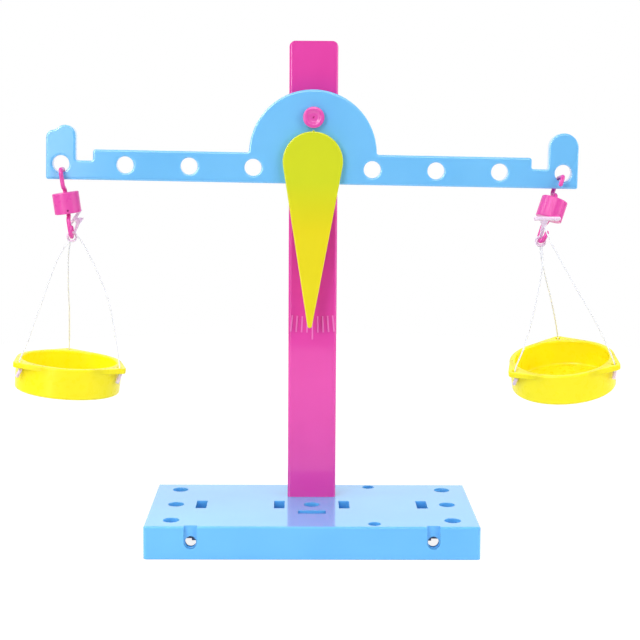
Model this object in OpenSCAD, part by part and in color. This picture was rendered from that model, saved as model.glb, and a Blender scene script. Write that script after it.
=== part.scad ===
// Lever balance with two hanging pans, moulded in plastic.
// Millimetres, +X to the right, +Y away from the front, +Z up; the base stands on z = 0.
// The beam turns about an axis along Y through the top of the column.

/* [Base] */
// Length of the base, left to right
base_w = 152; // [144:1:170]
// Depth of the base, front to back
base_d = 72; // [68:1:84]
// Height of the base
base_h = 15; // [13:0.5:20]
// Wall of the base shell
base_wall = 2; // [1.6:0.1:2.4]
// Radius of the base's upright corners
base_corner = 2; // [1.5:0.1:4]
// Rounding of the base's top edge
base_edge = 1; // [0.5:0.1:1.4]
// Thickness of the ribs under the base
rib_t = 1.5; // [1.2:0.1:2]
// Gap between the ribs and the table
rib_lift = 1; // [0.5:0.1:2]

/* [Base sockets] */
// Diameter of the round peg sockets
socket_d = 7.5; // [6:0.1:8.5]
// Wall round each socket, slot and hole under the base
boss_wall = 1.6; // [1.2:0.1:2]
// Thickness of the floor that closes a socket
socket_floor = 1.5; // [1:0.1:3]
// Distance of the outer sockets from the ends of the base
socket_end_inset = 11.8; // [10:0.1:13]
// Distance of the outer sockets from the front and back of the base
socket_side_inset = 10.3; // [9:0.1:12]
// Length of the slots that lie front to back
slot_l = 12.5; // [10:0.1:14]
// Width of the slots
slot_w = 5; // [4.6:0.1:5.5]
// Distance of the inner slots from the middle
slot_inner_x = 15.3; // [14:0.1:17]
// Distance of the outer slots from the ends of the base
slot_end_inset = 23.9; // [23:0.1:26]
// Length of the slot that lies left to right
cross_slot_l = 12.9; // [11:0.1:14]
// Distance of that slot in front of the middle
cross_slot_y = 12.4; // [12:0.1:13]
// Diameter of the two small holes on the right
small_hole_d = 5.75; // [5:0.05:6]
// Distance of the small holes from the middle
small_hole_x = 28.2; // [27:0.1:30]
// Distance of the small holes from the front and back of the base
small_hole_inset = 5; // [5:0.1:6]
// Distance of the front keyholes from the ends of the base
key_end_inset = 21.3; // [20:0.1:22]
// Width of a keyhole's groove
key_groove_w = 5.8; // [5:0.1:6.5]
// Depth of a keyhole's groove
key_groove_depth = 2; // [1:0.1:2.4]
// Diameter of the hole at the foot of a groove
key_hole_d = 4.9; // [4:0.1:5]
// Height of that hole above the table
key_hole_z = 7.6; // [6:0.1:8]

/* [Column] */
// Width of the column
col_w = 23.1; // [20:0.1:26]
// Depth of the column, front to back
col_d = 12; // [11:0.1:14]
// Height of the column above the base
col_h = 218.8; // [210:0.1:240]
// Distance of the column's front behind the middle of the base
col_front = 13.2; // [13:0.1:14]
// Wall of the open-backed column
col_wall = 2; // [1.5:0.1:2.5]
// Radius of the column's top corners
col_top_r = 2.9; // [2:0.1:5]
// Rounding of the column's front edges
col_edge = 1.5; // [0.8:0.1:1.9]
// Number of cross ribs in the column's back
col_ribs = 7; // [4:1:9]
// Height of the solid block at the column's foot
foot_h = 8; // [6:0.5:12]
// Width of the tenon under the foot
tenon_w = 16; // [12:0.1:18]
// Thickness of the tenon
tenon_t = 6; // [5:0.1:7]
// Length of the tenon
tenon_l = 10; // [8:0.5:11]
// Gap round the tenon in its socket
tenon_fit = 0.1; // [0.05:0.01:0.2]
// Distance of the pivot below the column's top
pivot_drop = 35.8; // [32:0.1:40]

/* [Beam] */
// Thickness of the beam
beam_t = 5; // [4:0.1:5]
// Height of the beam's arms
arm_h = 14.3; // [13.5:0.1:16]
// Height of the row of holes above the arms' lower edge
hole_line_h = 7.3; // [7:0.1:7.6]
// Diameter of the hook holes
hole_d = 8; // [7.6:0.1:8.6]
// Distance of the first hook hole from the middle
hole_first = 28; // [26:0.5:30]
// Distance from one hook hole to the next
hole_pitch = 30; // [28:0.5:32]
// Width of the upright finger at each end
finger_w = 13.8; // [13:0.1:15]
// Height of the fingers above the row of holes
finger_h = 18.8; // [17:0.1:22]
// Width of the notch beside each finger
notch_w = 8.1; // [7:0.1:8.5]
// Depth of the notch beside each finger
notch_depth = 5.3; // [4.6:0.1:5.5]
// Radius of the half disc over the arms
hub_r = 30; // [27:0.5:32]
// Height of the pivot above the arms' upper edge
pivot_h = 17; // [15:0.1:19]
// Gap between the column's front and the beam's back
beam_gap = 1; // [0.8:0.1:1.5]
// Tilt of the beam at rest, right end down
beam_tilt = 0.8; // [0:0.1:3]

/* [Pivot pin] */
// Diameter of the pin's head
pin_head_d = 10; // [8:0.1:11]
// Thickness of the pin's head
pin_head_t = 2.5; // [2:0.1:3]
// Diameter of the pin's shank
pin_d = 5; // [4:0.1:6]
// Gap round the shank in the beam
pin_run_fit = 0.08; // [0.05:0.01:0.1]
// Gap round the shank in the column
pin_seat_fit = 0.05; // [0.03:0.01:0.1]
// Height of the barb on the pin's split end
barb_h = 0.6; // [0.4:0.1:0.8]
// Length of the pin's barbed end
barb_l = 2; // [1.5:0.1:3]

/* [Pointer] */
// Radius of the pointer's head
pointer_r = 14.15; // [12:0.05:15]
// Distance of the head's centre below the pivot
pointer_drop = 20.7; // [20:0.1:24]
// Radius of the pointer's tip
pointer_tip_r = 1.1; // [0.8:0.1:2]
// Distance of the tip's centre below the pivot
pointer_reach = 98.2; // [90:0.1:104]
// Thickness of the pointer
pointer_t = 3; // [2:0.1:4]
// Diameter of the peg behind the pointer
peg_d = 3.8; // [3:0.1:4.5]

/* [Scale on the column] */
// Number of marks on each side of the centre mark
mark_side_count = 4; // [2:1:4]
// Angle from one mark to the next
mark_step = 1.45; // [1.2:0.05:1.6]
// Distance of the marks' upper ends from the pivot
mark_start = 94.8; // [92:0.1:96]
// Length of a mark
mark_l = 7.9; // [6:0.1:9]
// Length that the centre mark has below the others
mark_centre_extra = 3.3; // [2:0.1:5]
// Width of a mark
mark_w = 0.8; // [0.6:0.1:1]
// Height of a mark above the column's front
mark_relief = 0.4; // [0.2:0.1:0.6]

/* [Hooked weights] */
// Diameter of a weight's body
weight_d = 12.5; // [11:0.1:13]
// Height of a weight's body
weight_h = 10; // [9:0.1:11]
// Rounding of a weight's rims
weight_edge = 0.5; // [0.2:0.1:1]
// Diameter of the hook's rod
rod_d = 2; // [1.8:0.1:2.2]
// Distance from the upper hook's crown to the body
crown_h = 11; // [10.8:0.1:12]
// Distance from the crown's middle to each leg
hook_half = 5.2; // [5:0.1:5.4]
// Distance from the body to the bottom of the lower hook
lower_hook_h = 11.2; // [11:0.1:12.5]
// Radius of the lower hook
lower_hook_r = 3.6; // [3.2:0.1:3.8]
// Gap between a hook and the hole that it hangs in
hook_gap = 0.3; // [0.2:0.05:0.4]
// Lean of the left weight, top to the left
left_lean = 8; // [0:1:12]
// Lean of the right weight, top to the right
right_lean = 20; // [0:1:21]
// Swing of the right weight's foot towards the front
right_pitch = 12; // [0:1:12]
// Turn of the left weight's hooks about the upright axis
left_hook_turn = 3; // [0:1:12]
// Turn of the right weight's hooks about the upright axis
right_hook_turn = 12; // [0:1:12]

/* [Hanger tags] */
// Length of a tag's crossbar
bar_l = 12.4; // [10:0.1:13]
// Diameter of a tag's crossbar
bar_d = 2; // [1.6:0.1:2.2]
// Distance from a tag's ring to its crossbar
web_l = 10.8; // [10.5:0.1:11.5]
// Thickness of a tag's web
web_t = 1.2; // [1:0.1:1.4]
// Thickness of a tag's ring
ring_t = 1.4; // [1.2:0.1:1.6]
// Gap between a tag's ring and the hook inside it
ring_gap = 0.4; // [0.3:0.05:0.5]
// Diameter of the nylon filaments
filament_d = 0.7; // [0.5:0.05:0.8]
// Diameter of a toggle
toggle_d = 2; // [1.8:0.1:2.4]
// Length of a toggle
toggle_l = 5; // [4:0.1:6]

/* [Pans] */
// Outer diameter of a pan's cup
pan_d = 49.3; // [46:0.1:52]
// Height of a pan
pan_h = 14.5; // [13:0.1:18]
// Wall of a pan
pan_wall = 2.4; // [1.6:0.1:2.8]
// Thickness of a pan's floor
pan_floor = 2; // [1.5:0.1:3]
// Rounding under a pan
pan_edge = 1.2; // [0.6:0.1:1.8]
// Width of the flange outside the cup
flange_w = 0.35; // [0.3:0.05:1]
// Thickness of the flange
flange_t = 2.5; // [2:0.1:3]
// Distance of an ear's centre outside the flange
ear_reach = 1.6; // [1.4:0.1:2.2]
// Radius of an ear
ear_r = 3; // [2.5:0.1:3.5]
// Diameter of the hole in an ear, which a toggle passes lengthwise
ear_hole_d = 2.4; // [2.2:0.1:2.8]

/* [Hidden] */
$fn = 64;

// Colours as the photograph shows them
BLUE = [0.45, 0.77, 1.0];
PINK = [0.92, 0.32, 0.69];
POINTER_YELLOW = [0.90, 0.87, 0.15];
PAN_YELLOW = [0.99, 0.94, 0.17];
CLEAR_NYLON = [0.93, 0.93, 0.95, 0.5];

// One overrun for every cut
overrun = 1;

// Heights and depths that follow from the sizes above
col_top = base_h + col_h;
pivot_z = col_top - pivot_drop;
arm_top = pivot_z - pivot_h;
arm_bottom = arm_top - arm_h;
hole_z = arm_bottom + hole_line_h;
beam_front = col_front - beam_gap - beam_t;
beam_mid = beam_front + beam_t / 2;
end_hole_x = hole_first + 3 * hole_pitch;
beam_half = end_hole_x + finger_w / 2;
socket_x = base_w / 2 - socket_end_inset;
socket_y = base_d / 2 - socket_side_inset;
slot_outer_x = base_w / 2 - slot_end_inset;
key_x = base_w / 2 - key_end_inset;
small_hole_y = base_d / 2 - small_hole_inset;
socket_boss_r = socket_d / 2 + boss_wall;
col_mid = col_front + col_d / 2;
// Places of the ribs that run front to back, as shares of half the base
rib_shares = [0.28, 0.53];
rib_row_y = slot_l / 2 + rib_t / 2;
// Corners of the beam and its notches
arm_corner = 1;
notch_corner = 1;
// Top of the left finger: a lobe on its right, a lower shoulder on its left and a hollow between them
lobe_r = 5;
lobe_drop = 0.6;
shoulder_r = 3.5;
shoulder_drop = 2.4;
hollow_r = 4;
hollow_bite = 0.05;
// Boss on the column that the beam's hub runs against
hub_boss_r = pin_head_d / 2;
hub_boss_clear = 0.3;
pin_front_clear = 0.3;
pin_back_clear = 0.3;
pin_dome_r = 3 * pin_head_d;
dimple_r = 1.5 * pin_head_d;
dimple_depth = 0.5;
pinhole_d = 0.8;
split_w = 1;
// Gate nub on top of the pointer's head
nub_w = 2.2;
nub_h = 0.8;
peg_fit = 0.05;
peg_short = 0.5;

rod_r = rod_d / 2;
hook_bend_r = 2;
stem_bend_r = 1.9;
stem_l = 0.4;
tip_drop = 4.1;
lower_stem_l = 0.3;
lower_tip_l = 0.6;

ring_r = rod_r + ring_gap + ring_t / 2;
right_tag_lean = 33;
left_tag_lean = -56;
left_web_shift = 1.4;
right_bar_shift = 1.8;
left_bar_turn = -58;
// Half outline of a tag's web: across as shares of the crossbar, along as shares of the web
web_left_shares = [[-0.06, -0.03], [-0.03, 0.6], [-0.15, 1]];
web_right_shares = [[0.24, 1], [0.12, 0.6], [0.04, -0.03]];

flange_r = pan_d / 2 + flange_w;
ear_x = flange_r + ear_reach;
// The pans as they hang: distance below the hook holes and drift from them
left_pan_drop = 93.1;
right_pan_drop = 87.9;
left_pan_drift = 2.9;
right_pan_drift = 1.6;
// How each pan hangs: its front down, its right side down, its ears turned about the upright axis
left_pan_angles = [0, 5.2, 10];
right_pan_angles = [10, -6.9, -7];
// Direction of each ear before the pan turns
ear_back_angle = 90;
ear_left_angle = 210;
ear_right_angle = 330;
// Slope of a toggle under its ear, and the depth at which it just clears the flange
toggle_slope = 55;
toggle_clear = 0.1;
toggle_drop = flange_t + toggle_clear + (toggle_l * sin(toggle_slope) + toggle_d * cos(toggle_slope)) / 2;

// Hook feet that the routes below start from
LEFT_ROUTE_FOOT = [-113.842, 9.7, 141.063];
RIGHT_ROUTE_FOOT = [106.881, 3.005, 140.612];
// Routes of the filaments, from the tag through the ear's hole to the toggle
LEFT_OUTER_ROUTE = [
    [-115, 9.5, 139], [-118.5, 7, 134], [-122.2, 3.5, 125], [-126, 0.5, 113],
    [-129.8, -3, 101.5], [-133, -6, 91.5], [-135.6, -7.4, 85.4], [-136.2, -7.4, 79.2]
];
LEFT_BACK_ROUTE = [
    [-114.5, 9.5, 139], [-115.8, 12.5, 133.5], [-116.9, 16.5, 126], [-117.8, 22.5, 114.5],
    [-118.4, 28, 103.5], [-119.2, 32.5, 94], [-119.9, 35.9, 84.2], [-120.5, 35.9, 77.8]
];
LEFT_INNER_ROUTE = [
    [-112, 9.6, 142], [-109.3, 9.3, 139.1], [-106.4, 8.6, 134.2], [-101, 7.2, 123.3],
    [-96.6, 5.6, 112.2], [-94, 4.2, 101], [-90.6, 0.6, 81.4], [-91, 0.6, 75.1]
];
RIGHT_OUTER_ROUTE = [
    [107.8, -0.8, 148], [110.3, -2.2, 141.6], [114.3, -2.6, 134.4], [119, -3.1, 126],
    [123.5, -3.7, 118], [132, -5, 103.6], [140.5, -6.2, 85.6], [141.3, -5.2, 79.1]
];
RIGHT_BACK_ROUTE = [
    [106.8, 3.3, 138.4], [107.6, 5.5, 133.5], [109.8, 10, 126.5], [112.4, 15.2, 119.2],
    [115.3, 20.6, 111.5], [119.2, 28.8, 99.5], [121.8, 35.5, 90.4], [122.5, 36.6, 84.3]
];
RIGHT_INNER_ROUTE = [
    [107.5, 3, 138.4], [107.9, 2.5, 131.5], [107.2, 2.1, 124], [105.4, 1.6, 113.5],
    [102.6, 1, 101.5], [99.3, 0.2, 90], [95.6, -0.5, 80.8], [95.8, 0.4, 74.6]
];
FILAMENT_SIDES = 8;

// Place of a beam point once the beam is tilted, with x and z measured from the pivot
function on_tilted_beam(x, z) = [
    x * cos(beam_tilt) + z * sin(beam_tilt),
    beam_mid,
    pivot_z - x * sin(beam_tilt) + z * cos(beam_tilt)
];
function end_hole(side) = on_tilted_beam(side * end_hole_x, hole_z - pivot_z);

// A hook's crown rests on the foot of its hole; a pitched hook is lifted to clear the hole's rims
function crown_lift(pitch) = beam_t / 2 * tan(abs(pitch)) + rod_r / cos(pitch) + hook_gap;
function crown_place(side, pitch) = end_hole(side) + [0, 0, crown_lift(pitch) - hole_d / 2];

// Rotations about X then Y, as the weights are turned
function pitched(p, a) = [p[0], p[1] * cos(a) - p[2] * sin(a), p[1] * sin(a) + p[2] * cos(a)];
function leaned(p, a) = [p[0] * cos(a) + p[2] * sin(a), p[1], p[2] * cos(a) - p[0] * sin(a)];
hook_reach = crown_h + weight_h + lower_hook_h;
left_crown = crown_place(-1, 0);
right_crown = crown_place(1, right_pitch);
left_hook_foot = left_crown + leaned([0, 0, -hook_reach], -left_lean);
right_hook_foot = right_crown + leaned(pitched([0, 0, -hook_reach], -right_pitch), right_lean);
left_rim = end_hole(-1) + [left_pan_drift, 0, -left_pan_drop];
right_rim = end_hole(1) + [right_pan_drift, 0, -right_pan_drop];

// The middle of a toggle under a pan's ear, with the pan as it hangs
function turned(p, a) = [p[0] * cos(a) - p[1] * sin(a), p[0] * sin(a) + p[1] * cos(a), p[2]];
function toggle_place(rim, angles, ear) =
    rim + leaned(pitched(turned([ear_x, 0, -toggle_drop], ear + angles[2]), angles[0]), angles[1]);
function left_toggle_place(ear) = toggle_place(left_rim, left_pan_angles, ear);
function right_toggle_place(ear) = toggle_place(right_rim, right_pan_angles, ear);

// A route whose start goes with the hook's foot, and whose end goes to the toggle
function tied(route, start_shift, end_place) =
    let (
        last = len(route) - 1,
        end_shift = end_place - route[last]
    )
    [
        for (i = [0 : last])
            route[i] + start_shift * (last - i) / last + end_shift * i / last
    ];

// A plate upright along X, from the depth y and t thick, drawn as an outline in X and Z
module plate(y, t) {
    translate([0, y + t, 0])
        rotate([90, 0, 0])
            linear_extrude(t)
                children();
}

// A rectangle centred on the origin, with round corners
module round_rect(w, d, r) {
    square([w - 2 * r, d], center = true);
    square([w, d - 2 * r], center = true);
    for (x = [-1, 1], y = [-1, 1])
        translate([x * (w / 2 - r), y * (d / 2 - r)])
            circle(r);
}

// An outline that stands on the X axis, with its two upper corners round
module round_top(w, h, r) {
    translate([-w / 2, 0])
        square([w, h - r]);
    translate([r - w / 2, 0])
        square([w - 2 * r, h]);
    for (x = [-1, 1])
        translate([x * (w / 2 - r), h - r])
            circle(r);
}

// Two circles, the second at a reach along X, joined by their outer tangents
module tapered_outline(big_r, small_r, reach) {
    a = acos((big_r - small_r) / reach);
    circle(big_r);
    translate([reach, 0])
        circle(small_r);
    polygon([
        big_r * [cos(a), sin(a)],
        [reach, 0] + small_r * [cos(a), sin(a)],
        [reach, 0] + small_r * [cos(a), -sin(a)],
        big_r * [cos(a), -sin(a)]
    ]);
}

// The base's outside: rounded in plan and along its top edges
module base_block() {
    intersection() {
        linear_extrude(base_h)
            round_rect(base_w, base_d, base_corner);
        plate(-base_d / 2 - overrun, base_d + 2 * overrun)
            round_top(base_w, base_h, base_edge);
        rotate([0, 0, 90])
            plate(-base_w / 2 - overrun, base_w + 2 * overrun)
                round_top(base_d, base_h, base_edge);
    }
}

module base_ribs() {
    inner_w = base_w - base_wall;
    inner_d = base_d - base_wall;
    rib_h = base_h - base_wall / 2 - rib_lift;
    for (side = [-1, 1]) {
        translate([-inner_w / 2, side * rib_row_y - rib_t / 2, rib_lift])
            cube([inner_w, rib_t, rib_h]);
        for (share = rib_shares)
            translate([side * share * base_w / 2 - rib_t / 2, -inner_d / 2, rib_lift])
                cube([rib_t, inner_d, rib_h]);
        translate([side * socket_x - rib_t / 2, -inner_d / 2, rib_lift])
            cube([rib_t, inner_d, rib_h]);
    }
}

// Places of the round sockets: three at each end and one in the middle
module at_sockets() {
    children();
    for (x = [-1, 1], y = [-1, 0, 1])
        translate([x * socket_x, y * socket_y, 0])
            children();
}

// Places of the slots that lie front to back
module at_slots() {
    for (side = [-1, 1], x = [slot_inner_x, slot_outer_x])
        translate([side * x, 0, 0])
            children();
}

module at_small_holes() {
    for (side = [-1, 1])
        translate([small_hole_x, side * small_hole_y, 0])
            children();
}

// A straight-sided post or cut, as wide and as deep as given, from the height z
module upright_box(w, d, z, h) {
    translate([-w / 2, -d / 2, z])
        cube([w, d, h]);
}

module base_bosses() {
    boss_h = base_h - base_wall / 2;
    at_sockets()
        cylinder(r = socket_boss_r, h = boss_h);
    at_slots()
        upright_box(slot_w + 2 * boss_wall, slot_l + 2 * rib_t, 0, boss_h);
    at_small_holes()
        cylinder(d = small_hole_d + 2 * boss_wall, h = boss_h);
    translate([0, -cross_slot_y, 0])
        upright_box(cross_slot_l + 2 * boss_wall, slot_w + 2 * boss_wall, 0, boss_h);
    translate([0, col_mid, 0])
        upright_box(tenon_w + 2 * boss_wall, tenon_t + 2 * boss_wall, 0, boss_h);
    for (side = [-1, 1])
        translate([side * key_x, base_wall - base_d / 2, 0])
            upright_box(key_groove_w + 2 * boss_wall, 2 * base_wall, 0, boss_h);
}

// The groove in the base's front with its round foot, and the hole through the wall
module keyhole_cut() {
    translate([0, -base_d / 2, 0]) {
        plate(-overrun, key_groove_depth + overrun) {
            translate([0, key_hole_z])
                circle(d = key_groove_w);
            translate([-key_groove_w / 2, key_hole_z])
                square([key_groove_w, base_h]);
        }
        plate(-overrun, 2 * base_wall + 2 * overrun)
            translate([0, key_hole_z])
                circle(d = key_hole_d);
    }
}

module base() {
    color(BLUE)
        difference() {
            union() {
                difference() {
                    base_block();
                    translate([0, 0, -overrun])
                        linear_extrude(base_h - base_wall + overrun)
                            round_rect(base_w - 2 * base_wall, base_d - 2 * base_wall, base_corner / 2);
                }
                intersection() {
                    upright_box(base_w - base_wall, base_d - base_wall, 0, base_h - base_wall / 2);
                    union() {
                        base_ribs();
                        base_bosses();
                    }
                }
            }
            at_sockets()
                translate([0, 0, socket_floor])
                    cylinder(d = socket_d, h = base_h);
            at_slots()
                upright_box(slot_w, slot_l, -overrun, base_h + 2 * overrun);
            at_small_holes()
                translate([0, 0, -overrun])
                    cylinder(d = small_hole_d, h = base_h + 2 * overrun);
            translate([0, -cross_slot_y, 0])
                upright_box(cross_slot_l, slot_w, -overrun, base_h + 2 * overrun);
            translate([0, col_mid, 0])
                upright_box(tenon_w + 2 * tenon_fit, tenon_t + 2 * tenon_fit, -overrun, base_h + 2 * overrun);
            for (side = [-1, 1])
                translate([side * key_x, 0, 0])
                    keyhole_cut();
        }
}

// The column's outside: front edges rounded in plan, top corners rounded from the front
module column_block() {
    intersection() {
        translate([0, col_mid, base_h])
            linear_extrude(col_h)
                rotate(180)
                    translate([0, -col_d / 2])
                        round_top(col_w, col_d, col_edge);
        plate(col_front, col_d)
            translate([0, base_h])
                round_top(col_w, col_h, col_top_r);
    }
}

// The bays between the column's cross ribs, open at the back
module column_bays() {
    bay_step = (col_h - foot_h - col_wall + rib_t) / (col_ribs + 1);
    for (i = [0 : col_ribs])
        translate([0, col_mid + col_wall, 0])
            upright_box(col_w - 2 * col_wall, col_d, base_h + foot_h + i * bay_step, bay_step - rib_t);
}

// Raised radial marks below the pivot, the middle one longer
module scale_marks() {
    for (i = [-mark_side_count : mark_side_count])
        translate([0, 0, pivot_z])
            rotate([0, i * mark_step, 0])
                plate(col_front - mark_relief, 2 * mark_relief)
                    translate([-mark_w / 2, -mark_start - mark_l - (i == 0 ? mark_centre_extra : 0)])
                        square([mark_w, mark_l + (i == 0 ? mark_centre_extra : 0)]);
}

// A round bar along Y about the pivot, from the depth y
module pivot_bar(y, l, d) {
    translate([0, y, pivot_z])
        rotate([-90, 0, 0])
            cylinder(d = d, h = l);
}

module column() {
    color(PINK)
        difference() {
            union() {
                difference() {
                    column_block();
                    column_bays();
                }
                pivot_bar(col_front + col_wall / 2, col_d - col_wall / 2, pin_d + 4 * col_wall);
                pivot_bar(col_front - beam_gap + hub_boss_clear, beam_gap, 2 * hub_boss_r);
                scale_marks();
                translate([0, col_mid, 0])
                    upright_box(tenon_w, tenon_t, base_h - tenon_l, tenon_l + foot_h / 2);
            }
            pivot_bar(beam_front, beam_gap + col_d + 2 * beam_t, pin_d + 2 * pin_seat_fit);
        }
}

// The pin goes in from the front and its split barb opens behind the column
module pivot_pin() {
    head_back = beam_front - pin_front_clear;
    head_front = head_back - pin_head_t;
    shank_end = col_front + col_d + pin_back_clear;
    color(PINK)
        difference() {
            union() {
                intersection() {
                    pivot_bar(head_front, pin_head_t, pin_head_d);
                    translate([0, head_front + pin_dome_r, pivot_z])
                        sphere(pin_dome_r);
                }
                pivot_bar(head_back - overrun / 2, shank_end - head_back + overrun, pin_d);
                translate([0, shank_end, pivot_z])
                    rotate([-90, 0, 0])
                        cylinder(d1 = pin_d + 2 * barb_h, d2 = pin_d - 2 * barb_h, h = barb_l);
            }
            translate([0, head_front + dimple_depth - dimple_r, pivot_z])
                sphere(dimple_r);
            pivot_bar(head_front, pin_head_t / 2, pinhole_d);
            translate([-pin_d, shank_end - col_d / 2, pivot_z - split_w / 2])
                cube([2 * pin_d, col_d, split_w]);
        }
}

// Turns a piece of the level beam to its tilt about the pivot
module tilted() {
    translate([0, 0, pivot_z])
        rotate([0, beam_tilt, 0])
            translate([0, 0, -pivot_z])
                children();
}

module arm_outline() {
    translate([0, arm_bottom + arm_h / 2])
        round_rect(2 * beam_half, arm_h, arm_corner);
}

module right_finger_outline() {
    r = finger_w / 2;
    translate([end_hole_x, hole_z]) {
        translate([0, finger_h - r])
            circle(r);
        translate([-r, 0])
            square([finger_w, finger_h - r]);
    }
}

// The point at the distances a and b from the points p and q, on the left of the way from p to q
function meeting(p, q, a, b) =
    let (
        way = (q - p) / norm(q - p),
        along = (a * a - b * b + norm(q - p) * norm(q - p)) / (2 * norm(q - p))
    )
    p + along * way + sqrt(a * a - along * along) * [-way[1], way[0]];

module left_finger_outline() {
    r = finger_w / 2;
    lobe_top = finger_h - lobe_drop;
    shoulder = [shoulder_r - r, lobe_top - shoulder_drop - shoulder_r];
    lobe = [r - lobe_r, lobe_top - lobe_r];
    hollow = meeting(shoulder, lobe, shoulder_r + hollow_r, lobe_r + hollow_r);
    translate([-end_hole_x, hole_z])
        difference() {
            union() {
                translate(shoulder)
                    circle(shoulder_r);
                translate(lobe)
                    circle(lobe_r);
                polygon([shoulder, lobe, hollow]);
                polygon([[-r, 0], [r, 0], [r, lobe[1]], lobe, shoulder, [-r, shoulder[1]]]);
            }
            translate(hollow)
                circle(hollow_r + hollow_bite);
        }
}

module notch_outline(side) {
    translate([side * (end_hole_x - finger_w / 2 - notch_w / 2), arm_top])
        rotate(180)
            translate([0, -overrun])
                round_top(notch_w, notch_depth + overrun, notch_corner);
}

module hub_outline() {
    intersection() {
        translate([0, arm_top])
            circle(hub_r);
        translate([-hub_r, arm_bottom + arm_h / 2])
            square([2 * hub_r, 2 * hub_r]);
    }
}

module beam() {
    color(BLUE)
        tilted()
            difference() {
                plate(beam_front, beam_t)
                    difference() {
                        union() {
                            arm_outline();
                            hub_outline();
                            left_finger_outline();
                            right_finger_outline();
                        }
                        notch_outline(-1);
                        notch_outline(1);
                    }
                for (side = [-1, 1], i = [0 : 3])
                    translate([side * (hole_first + i * hole_pitch), 0, hole_z - pivot_z])
                        pivot_bar(beam_front - overrun, beam_t + 2 * overrun, hole_d);
                pivot_bar(beam_front - overrun, beam_t + 2 * overrun, pin_d + 2 * pin_run_fit);
                translate([0, 0, -pointer_drop])
                    pivot_bar(beam_front - overrun, beam_t + 2 * overrun, peg_d + 2 * peg_fit);
            }
}

module pointer() {
    head_z = pivot_z - pointer_drop;
    color(POINTER_YELLOW)
        tilted() {
            plate(beam_front - pointer_t, pointer_t)
                translate([0, head_z]) {
                    rotate(-90)
                        tapered_outline(pointer_r, pointer_tip_r, pointer_reach - pointer_drop);
                    polygon([
                        [-nub_w / 2, pointer_r - nub_h],
                        [0, pointer_r + nub_h],
                        [nub_w / 2, pointer_r - nub_h]
                    ]);
                }
            translate([0, 0, -pointer_drop])
                pivot_bar(beam_front - pointer_t / 2, pointer_t / 2 + beam_t - peg_short, peg_d);
        }
}

// A straight run of hook rod between two points of the YZ plane, each [y, z]
module rod_run(a, b) {
    translate([0, a[0], a[1]])
        rotate([-atan2(b[0] - a[0], b[1] - a[1]), 0, 0])
            cylinder(r = rod_r, h = norm(b - a));
}

// A bend of hook rod about the point c of the YZ plane, its angles counted from +Y towards +Z
module rod_bend(c, r, start, sweep) {
    translate([0, c[0], c[1]])
        rotate([90, 0, 90])
            rotate([0, 0, start])
                rotate_extrude(angle = sweep)
                    translate([r, 0])
                        circle(rod_r, $fn = 24);
}

module rod_end(p) {
    translate([0, p[0], p[1]])
        sphere(rod_r, $fn = 24);
}

// The squared upper hook, its crown's middle at the origin, its long leg on the +Y side
module upper_hook() {
    stem_top = stem_l - crown_h;
    leg_foot = stem_top + 2 * stem_bend_r;
    crown_half = hook_half - hook_bend_r;
    rod_run([0, -crown_h - weight_edge], [0, stem_top]);
    rod_bend([stem_bend_r, stem_top], stem_bend_r, 90, 90);
    rod_run([stem_bend_r, stem_top + stem_bend_r], [hook_half - stem_bend_r, stem_top + stem_bend_r]);
    rod_bend([hook_half - stem_bend_r, leg_foot], stem_bend_r, -90, 90);
    rod_run([hook_half, leg_foot], [hook_half, -hook_bend_r]);
    rod_bend([crown_half, -hook_bend_r], hook_bend_r, 0, 90);
    rod_run([crown_half, 0], [-crown_half, 0]);
    rod_bend([-crown_half, -hook_bend_r], hook_bend_r, 90, 90);
    rod_run([-hook_half, -hook_bend_r], [-hook_half, -tip_drop]);
    rod_end([-hook_half, -tip_drop]);
}

// The round lower hook, its long leg on the +Y side too
module lower_hook() {
    body_foot = -crown_h - weight_h;
    bend_r = lower_hook_r / 2;
    stem_foot = body_foot - lower_stem_l;
    hook_centre = lower_hook_r - hook_reach;
    rod_run([0, body_foot + weight_edge], [0, stem_foot]);
    rod_bend([bend_r, stem_foot], bend_r, 180, 90);
    rod_bend([bend_r, stem_foot - 2 * bend_r], bend_r, 0, 90);
    rod_run([lower_hook_r, stem_foot - 2 * bend_r], [lower_hook_r, hook_centre]);
    rod_bend([0, hook_centre], lower_hook_r, 180, 180);
    rod_run([-lower_hook_r, hook_centre], [-lower_hook_r, hook_centre + lower_tip_l]);
    rod_end([-lower_hook_r, hook_centre + lower_tip_l]);
}

module weight_body() {
    translate([0, 0, -crown_h - weight_h])
        rotate_extrude()
            intersection() {
                translate([0, weight_h / 2])
                    round_rect(weight_d, weight_h, weight_edge);
                square([weight_d, weight_h]);
            }
}

// A weight with its two hooks, opening the same way
module hooked_weight() {
    color(PINK) {
        weight_body();
        upper_hook();
        lower_hook();
    }
}

module left_weight() {
    translate(left_crown)
        rotate([0, -left_lean, 0])
            rotate([0, 0, 180 + left_hook_turn])
                hooked_weight();
}

module right_weight() {
    translate(right_crown)
        rotate([0, right_lean, 0])
            rotate([-right_pitch, 0, 0])
                rotate([0, 0, right_hook_turn])
                    hooked_weight();
}

// A tag: its ring round the lower hook at the origin, its web leaning up to the crossbar
module hanger_tag(lean, web_shift, bar_shift, turn) {
    web_scale = [bar_l, web_l];
    color(CLEAR_NYLON) {
        rotate([90, 0, 0])
            rotate_extrude()
                translate([ring_r, 0])
                    circle(d = ring_t, $fn = 24);
        translate([0, 0, ring_r])
            rotate([lean, 0, 0]) {
                plate(-web_t / 2, web_t)
                    polygon([
                        for (p = concat(web_left_shares, web_right_shares))
                            [web_shift + p[0] * web_scale[0], p[1] * web_scale[1]]
                    ]);
                translate([bar_shift, 0, web_l])
                    rotate([-lean, 0, turn])
                        rotate([0, 90, 0])
                            cylinder(d = bar_d, h = bar_l, center = true);
            }
    }
}

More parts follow.
